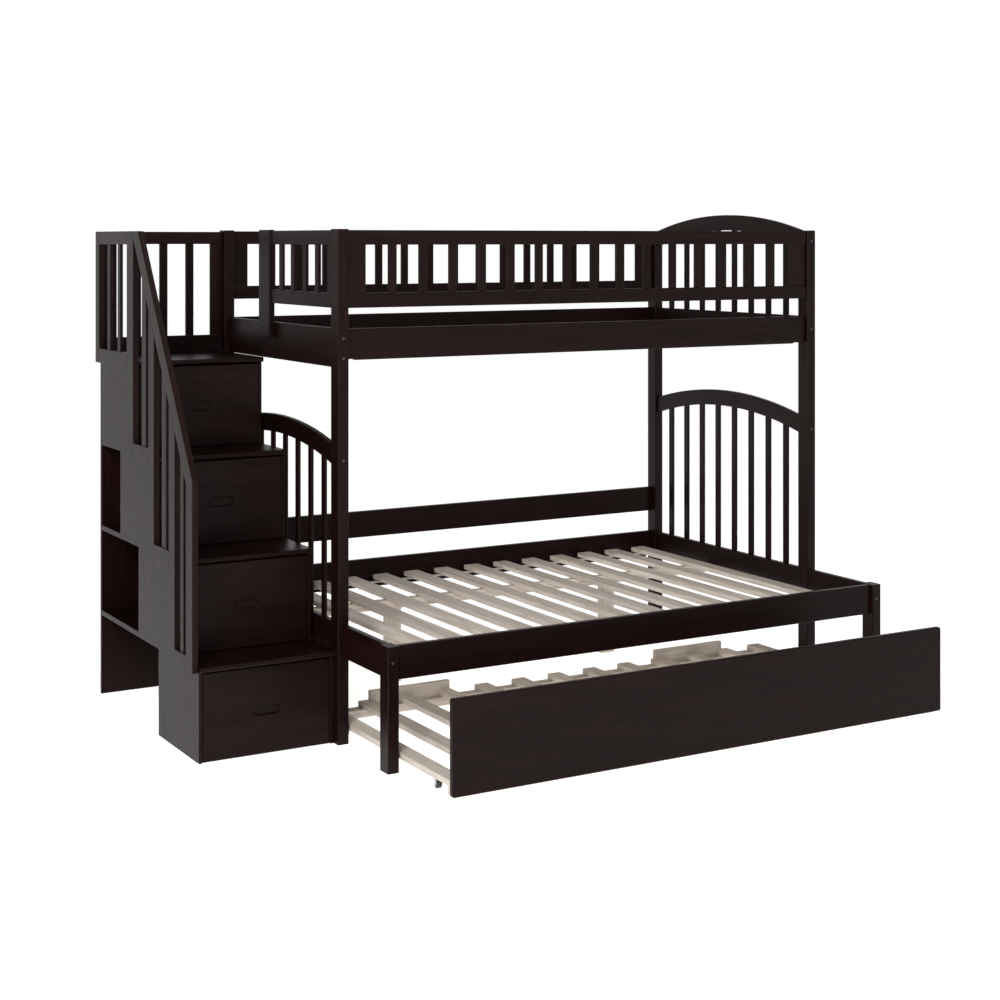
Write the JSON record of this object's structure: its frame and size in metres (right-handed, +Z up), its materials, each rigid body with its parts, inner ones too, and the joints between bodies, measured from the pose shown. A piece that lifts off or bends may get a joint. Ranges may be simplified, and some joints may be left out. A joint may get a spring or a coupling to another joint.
{
  "type": "bunk bed",
  "caption": "Dark wooden bunk bed, narrow bed over wide bed, with a drawer staircase and handrail on the left, arched slatted ends, guard rails and a low roll-out trundle.",
  "frame": {"origin": "centre of the footprint on the floor, taken with the trundle as stored (part way out)", "axes": "+X along the bed away from the staircase, +Y towards the back of the bed, +Z up"},
  "size_m": [2.56, 1.8356, 1.7965],
  "materials": {
    "espresso_wood": "satin dark brown stain",
    "pine_wood": "unfinished sanded softwood",
    "caster_plastic": "matte black"
  },
  "bodies": {
    "bed": {"post_lower_front_left": "espresso_wood", "post_upper_front_left": "espresso_wood", "post_lower_front_right": "espresso_wood", "post_upper_front_right": "espresso_wood", "post_lower_back_left": "espresso_wood", "post_upper_back_left": "espresso_wood", "post_lower_back_right": "espresso_wood", "post_upper_back_right": "espresso_wood", "short_leg_left": "espresso_wood", "short_leg_right": "espresso_wood", "lower_front_rail": "espresso_wood", "lower_back_rail": "espresso_wood", "upper_front_rail": "espresso_wood", "upper_back_rail": "espresso_wood", "lower_back_board": "espresso_wood", "lower_end_rail_left": "espresso_wood", "lower_end_rail_right": "espresso_wood", "lower_side_rail_left": "espresso_wood", "lower_side_rail_right": "espresso_wood", "upper_end_rail_left": "espresso_wood", "upper_end_rail_right": "espresso_wood", "lower_slat_roll": "pine_wood", "upper_slat_roll": "pine_wood", "center_support": "pine_wood", "lower_arch_panel_left": "espresso_wood", "lower_arch_panel_right": "espresso_wood", "upper_arch_panel_right": "espresso_wood", "upper_guard_front": "espresso_wood", "upper_guard_back": "espresso_wood", "entry_guard": "espresso_wood", "tread_1": "espresso_wood", "tread_2": "espresso_wood", "tread_3": "espresso_wood", "tread_4": "espresso_wood", "step_side_1": "espresso_wood", "step_side_2": "espresso_wood", "step_side_3": "espresso_wood", "step_side_4": "espresso_wood", "step_partition_1": "espresso_wood", "step_partition_2": "espresso_wood", "step_partition_3": "espresso_wood", "stair_side_right": "espresso_wood", "stair_back_panel": "espresso_wood", "stair_railing": "espresso_wood", "stair_back_guard": "espresso_wood"},
    "drawer_1": {"drawer_front_1": "espresso_wood", "drawer_box_1": "espresso_wood"},
    "drawer_2": {"drawer_front_2": "espresso_wood", "drawer_box_2": "espresso_wood"},
    "drawer_3": {"drawer_front_3": "espresso_wood", "drawer_box_3": "espresso_wood"},
    "drawer_4": {"drawer_front_4": "espresso_wood", "drawer_box_4": "espresso_wood"},
    "trundle": {"trundle_front_panel": "espresso_wood", "trundle_frame": "pine_wood"},
    "wheel_front_left": {"trundle_wheel_front_left": "caster_plastic"},
    "wheel_front_right": {"trundle_wheel_front_right": "caster_plastic"},
    "wheel_back_left": {"trundle_wheel_back_left": "caster_plastic"},
    "wheel_back_right": {"trundle_wheel_back_right": "caster_plastic"}
  },
  "joints": [
    {"name": "drawer_1_slide", "type": "slide", "parent": "bed", "child": "drawer_1", "axis": [0, -1, 0], "range_m": [0, 0.28]},
    {"name": "drawer_2_slide", "type": "slide", "parent": "bed", "child": "drawer_2", "axis": [0, -1, 0], "range_m": [0, 0.28]},
    {"name": "drawer_3_slide", "type": "slide", "parent": "bed", "child": "drawer_3", "axis": [0, -1, 0], "range_m": [0, 0.28]},
    {"name": "drawer_4_slide", "type": "slide", "parent": "bed", "child": "drawer_4", "axis": [0, -1, 0], "range_m": [0, 0.28]},
    {"name": "trundle_slide", "type": "slide", "parent": "bed", "child": "trundle", "axis": [0, 1, 0], "range_m": [-0.65, 0.349]},
    {"name": "wheel_front_left_roll", "type": "hinge", "parent": "trundle", "child": "wheel_front_left", "pos_m": [-0.7058, -0.74475, 0.015], "axis": [1, 0, 0], "continuous": true},
    {"name": "wheel_front_right_roll", "type": "hinge", "parent": "trundle", "child": "wheel_front_right", "pos_m": [1.183, -0.74475, 0.015], "axis": [1, 0, 0], "continuous": true},
    {"name": "wheel_back_left_roll", "type": "hinge", "parent": "trundle", "child": "wheel_back_left", "pos_m": [-0.7058, -0.07475, 0.015], "axis": [1, 0, 0], "continuous": true},
    {"name": "wheel_back_right_roll", "type": "hinge", "parent": "trundle", "child": "wheel_back_right", "pos_m": [1.183, -0.07475, 0.015], "axis": [1, 0, 0], "continuous": true}
  ],
  "couplings": [
    {"joint": "wheel_front_left_roll", "follows": "trundle_slide", "rad_per_m": -66.667},
    {"joint": "wheel_front_right_roll", "follows": "trundle_slide", "rad_per_m": -66.667},
    {"joint": "wheel_back_left_roll", "follows": "trundle_slide", "rad_per_m": -66.667},
    {"joint": "wheel_back_right_roll", "follows": "trundle_slide", "rad_per_m": -66.667}
  ]
}
